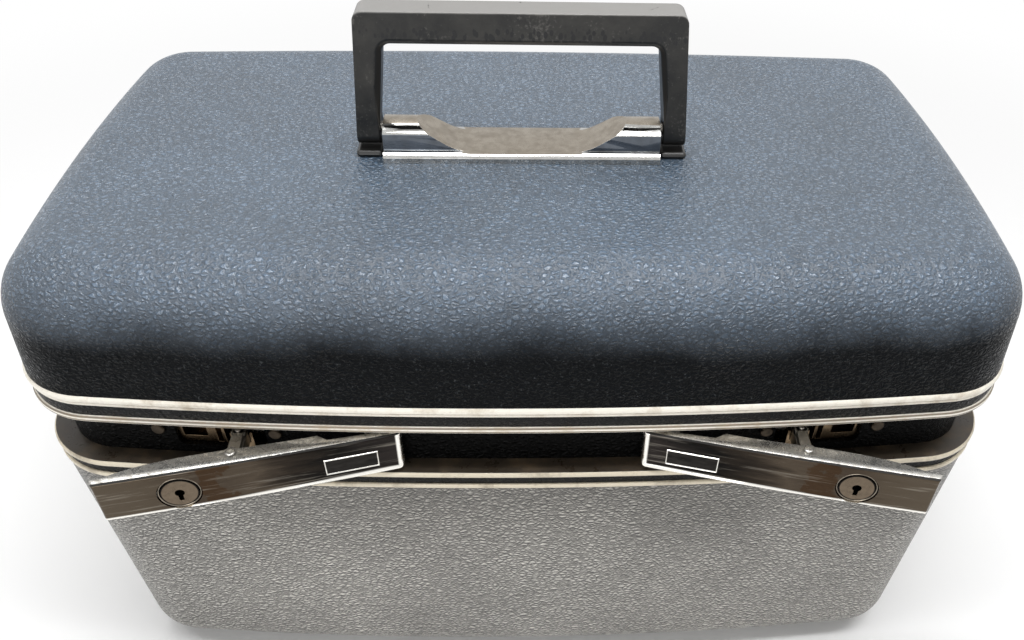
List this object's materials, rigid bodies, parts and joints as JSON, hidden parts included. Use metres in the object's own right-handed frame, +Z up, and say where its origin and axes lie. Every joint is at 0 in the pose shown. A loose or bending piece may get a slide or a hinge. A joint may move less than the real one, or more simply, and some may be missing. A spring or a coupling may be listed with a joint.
{
  "type": "cosmetic case",
  "caption": "Hard-shell cosmetic train case with hinged lid, swing-out latch bars with key locks, folding carrying handle, lid mirror and lift-out tray.",
  "frame": {"origin": "on the case's flat underside, midway between its ends", "axes": "+X along the case's length, to the right seen from the front; +Y to the hinges; +Z up"},
  "size_m": [0.343, 0.216, 0.2506],
  "materials": {
    "blue_vinyl": "embossed vinyl, low sheen",
    "black_vinyl": "embossed vinyl",
    "ivory_frame": "aged ivory and taupe extrusion",
    "chrome": "bright plated",
    "zinc": "plated, mottled",
    "steel": "plated pressing",
    "black_plastic": "moulded, worn",
    "lining": "quilted satin",
    "mirror": "silvered",
    "frame_plastic": "moulded",
    "tray_plastic": "moulded"
  },
  "bodies": {
    "case": {"base_shell": "blue_vinyl", "base_lining": "lining", "base_frame": "ivory_frame", "base_trim_strip": "black_vinyl", "collar": "black_vinyl", "collar_rivets": "steel", "latch_housing_left": "steel", "latch_housing_right": "steel", "latch_bracket_left": "steel", "latch_bracket_right": "steel", "latch_pivot_pin_left": "steel", "latch_pivot_pin_right": "steel", "hinge_base_leaf_left": "steel", "hinge_base_leaf_right": "steel", "hinge_pin_left": "steel", "hinge_pin_right": "steel", "tray_rail_left": "tray_plastic", "tray_rail_right": "tray_plastic"},
    "lid": {"lid_shell": "blue_vinyl", "lid_lining": "lining", "lid_frame": "ivory_frame", "lid_trim_strip": "black_vinyl", "handle_mount": "chrome", "handle_pads": "black_plastic", "handle_pins": "steel", "handle_plate": "steel", "mirror_frame": "frame_plastic", "mirror_glass": "mirror", "mirror_screws": "steel", "strike_left": "steel", "strike_right": "steel", "hinge_lid_leaf_left": "steel", "hinge_lid_leaf_right": "steel"},
    "handle": {"handle_grip": "black_plastic"},
    "tray": {"tray": "tray_plastic"},
    "latch_left": {"latch_cover_left": "chrome", "latch_carrier_left": "zinc", "latch_plaque_left": "chrome", "latch_link_pin_left": "zinc", "lock_bezel_left": "chrome"},
    "lock_left": {"lock_plug_left": "chrome"},
    "link_left": {"latch_link_left": "steel"},
    "bolt_left": {"latch_bolt_left": "steel"},
    "latch_right": {"latch_cover_right": "chrome", "latch_carrier_right": "zinc", "latch_plaque_right": "chrome", "latch_link_pin_right": "zinc", "lock_bezel_right": "chrome"},
    "lock_right": {"lock_plug_right": "chrome"},
    "link_right": {"latch_link_right": "steel"},
    "bolt_right": {"latch_bolt_right": "steel"}
  },
  "joints": [
    {"name": "lid_hinge", "type": "hinge", "parent": "case", "child": "lid", "pos_m": [0, 0.0912, 0.1394], "axis": [-1, 0, 0], "range_deg": [0, 100]},
    {"name": "handle_pivot", "type": "hinge", "parent": "lid", "child": "handle", "pos_m": [0, -0.014, 0.2093], "axis": [1, 0, 0], "range_deg": [-90, 90]},
    {"name": "tray_lift", "type": "slide", "parent": "case", "child": "tray", "axis": [0, 0, 1], "range_m": [0, 0.062]},
    {"name": "latch_left_swing", "type": "hinge", "parent": "case", "child": "latch_left", "pos_m": [-0.0471, -0.09559, 0.1343], "axis": [0, 0, -1], "range_deg": [0, 16.7]},
    {"name": "lock_left_turn", "type": "hinge", "parent": "latch_left", "child": "lock_left", "pos_m": [-0.11003, -0.11585, 0.1334], "axis": [0.2178, -0.976, 0], "range_deg": [-90, 0]},
    {"name": "link_left_turn", "type": "hinge", "parent": "latch_left", "child": "link_left", "pos_m": [-0.09401, -0.10696, 0.1401], "axis": [0, 0, -1], "range_deg": [-10.57, 0]},
    {"name": "bolt_left_slide", "type": "slide", "parent": "case", "child": "bolt_left", "axis": [0, 1, 0], "range_m": [0, 0.01397]},
    {"name": "latch_right_swing", "type": "hinge", "parent": "case", "child": "latch_right", "pos_m": [0.0471, -0.09559, 0.1343], "axis": [0, 0, 1], "range_deg": [0, 16.7]},
    {"name": "lock_right_turn", "type": "hinge", "parent": "latch_right", "child": "lock_right", "pos_m": [0.11003, -0.11585, 0.1334], "axis": [-0.2178, -0.976, 0], "range_deg": [0, 90]},
    {"name": "link_right_turn", "type": "hinge", "parent": "latch_right", "child": "link_right", "pos_m": [0.09401, -0.10696, 0.1401], "axis": [0, 0, 1], "range_deg": [-10.57, 0]},
    {"name": "bolt_right_slide", "type": "slide", "parent": "case", "child": "bolt_right", "axis": [0, 1, 0], "range_m": [0, 0.01397]}
  ],
  "couplings": [
    {"joint": "link_left_turn", "follows": "latch_left_swing", "ratio": -0.63204},
    {"joint": "bolt_left_slide", "follows": "latch_left_swing", "m_per_rad": 0.047895},
    {"joint": "link_right_turn", "follows": "latch_right_swing", "ratio": -0.63204},
    {"joint": "bolt_right_slide", "follows": "latch_right_swing", "m_per_rad": 0.047895}
  ]
}
